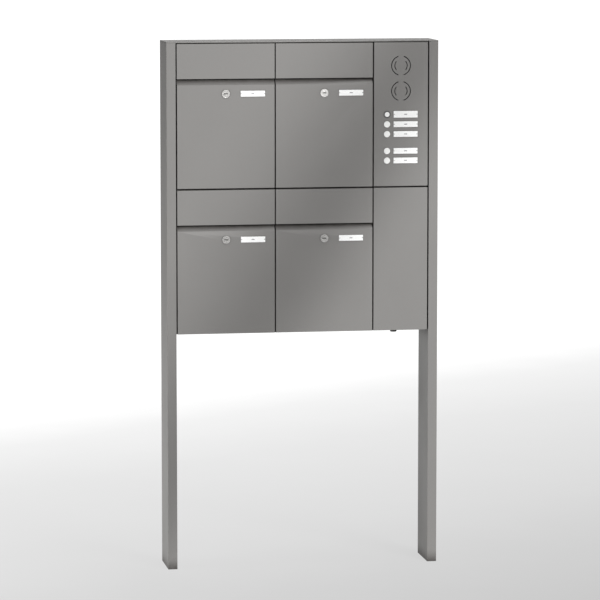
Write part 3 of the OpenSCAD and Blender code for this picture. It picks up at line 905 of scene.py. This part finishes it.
studio = {
    "paintedLightTones": ((-3.0, 0.40), (-1.3, 0.512), (-0.46, 0.558), (0.38, 0.614), (2.27, 0.705), (3.3, 0.785),
              (4.6, 1.0)),  # painted light: the sweep's glow at each distance along its direction
    "direction": (-0.82, 1.15),
    "dimSide": (-2.2, -1.0, 0.12),  # painted shade: where the glow on the left side starts and ends to dim, and the tone left there
    "ownLight": 1.1,
    "base": 0.074,  # share of the tone that takes light from the lamps
    "sweepRadius": 3.0,
    "half": 14.0,
    "front": -16.0,
    "back": 10.0,
    "high": 12.0,
    "world": 0.297,
}


def makeFloor(setup):
    bm = bmesh.new()
    radius, half, back = setup["sweepRadius"], setup["half"], setup["back"]
    outline = [(setup["front"], 0.0), (back - radius, 0.0)]
    outline += [(back - radius + radius * math.sin(a), radius - radius * math.cos(a))
                for a in [math.pi / 2 * i / 24 for i in range(1, 25)]]
    outline.append((back, setup["high"]))
    rows = [[bm.verts.new((x, y, z)) for y, z in outline] for x in (-half, half)]
    for i in range(len(outline) - 1):
        bm.faces.new((rows[0][i], rows[1][i], rows[1][i + 1], rows[0][i + 1]))
    floor = bpy.data.objects.new("floor", meshFrom("floor", bm))
    bpy.context.scene.collection.objects.link(floor)
    material, tree, shader = newMaterial("floorPaintedLight")
    # painted light: the floor glows, brighter further along its direction and dimmer to the left, and
    # takes only a small share of lamp light
    place = addNode(tree, "ShaderNodeSeparateXYZ")
    feed(tree, place.inputs[0], objectPlace(tree))
    across, away = setup["direction"]
    along = math2(tree, "MULTIPLY", place.outputs[0], across)
    along = math2(tree, "MULTIPLY_ADD", place.outputs[1], away, along)
    mottled = noise(tree, objectPlace(tree), 3.0, 3.0)
    along = math2(tree, "ADD", along, spread(tree, mottled, 0.3, 0.7, -0.05, 0.05))
    first, last = setup["paintedLightTones"][0][0], setup["paintedLightTones"][-1][0]
    ramp = addNode(tree, "ShaderNodeValToRGB")
    points = ramp.color_ramp.elements
    for index, (at, tone) in enumerate(setup["paintedLightTones"]):
        if 0 < index < len(setup["paintedLightTones"]) - 1:
            spot = points.new((at - first) / (last - first))
        else:
            spot = points[0 if index == 0 else -1]
        spot.color = (tone, tone, tone, 1)
    feed(tree, ramp.inputs[0], spread(tree, along, first, last, 0.0, 1.0))
    # painted shade: the glow fades towards the left side
    far, near, least = setup["dimSide"]
    dim = spread(tree, place.outputs[0], far, near, least, 1.0)
    glow = mixColour(tree, dim, (0, 0, 0, 1), ramp.outputs[0])
    base = setup["base"]
    shade(tree, shader, Base_Color=mixColour(tree, base, (0, 0, 0, 1), ramp.outputs[0]), Roughness=0.9,
          Emission_Color=glow)
    shader.inputs["Emission Strength"].default_value = setup["ownLight"]
    shader.inputs["Specular IOR Level"].default_value = 0.0
    floor.data.materials.append(material)
    for polygon in floor.data.polygons:
        polygon.use_smooth = True


lights = {
    "key": {"place": (2.2, -7.2, 2.8), "target": (0, 0, 1.0), "size": (1.75, 1.75), "power": 128},
    "fill": {"place": (4.5, -9.0, 5.5), "target": (0, 0, 0.9), "size": (4, 4), "power": 1046},
    "lowLeft": {"place": (-2.0, -0.3, 0.5), "target": (-0.4, 0, 0.5), "size": (1.0, 1.0), "power": 22},
    "top": {"place": (1.5, 0.5, 5.0), "target": (0, 0, 1.0), "size": (4, 4), "power": 40},
}

flag = {"width": 0.155, "ahead": 1.0, "low": 0.05, "high": 2.1, "slope": 0.60, "foot": -0.583}


def makeLight(name, plan):
    data = bpy.data.lights.new(name, "AREA")
    data.shape = "ELLIPSE"
    data.size, data.size_y = plan["size"]
    data.energy = plan["power"]
    light = bpy.data.objects.new(name, data)
    bpy.context.scene.collection.objects.link(light)
    aim = (Vector(plan["target"]) - Vector(plan["place"])).to_track_quat("-Z", "Y")
    light.matrix_world = Matrix.Translation(plan["place"]) @ aim.to_matrix().to_4x4()


def makeFlag(setup, source):
    # a long dark card between the key light and the fronts, which lays a soft slanting shade over them
    front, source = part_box("bell_panel")[0].y, Vector(source)

    def toward(z):
        spot = Vector((setup["foot"] + setup["slope"] * z, front, z))
        return spot + (source - spot).normalized() * setup["ahead"]

    low, high = toward(setup["low"]), toward(setup["high"])
    side = (high - low).cross(Vector((0, 1, 0))).normalized() * setup["width"] / 2
    bm = bmesh.new()
    bm.faces.new([bm.verts.new(p) for p in (low - side, low + side, high + side, high - side)])
    card = bpy.data.objects.new("flag", meshFrom("flag", bm))
    bpy.context.scene.collection.objects.link(card)
    card.data.materials.append(materials["black_plastic"])
    card.visible_camera = False
    card.visible_glossy = False
    card.visible_diffuse = False
    card.visible_transmission = False


def makeWorld(strength):
    world = bpy.data.worlds.new("studioWorld")
    world.use_nodes = True
    background = world.node_tree.nodes["Background"]
    background.inputs["Color"].default_value = (1, 1, 1, 1)
    background.inputs["Strength"].default_value = strength
    bpy.context.scene.world = world


makeFloor(studio)
makeWorld(studio["world"])
for lightName, lightPlan in lights.items():
    makeLight(lightName, lightPlan)
makeFlag(flag, lights["key"]["place"])
bpy.context.scene.view_settings.view_transform = "Standard"
print("studio made")
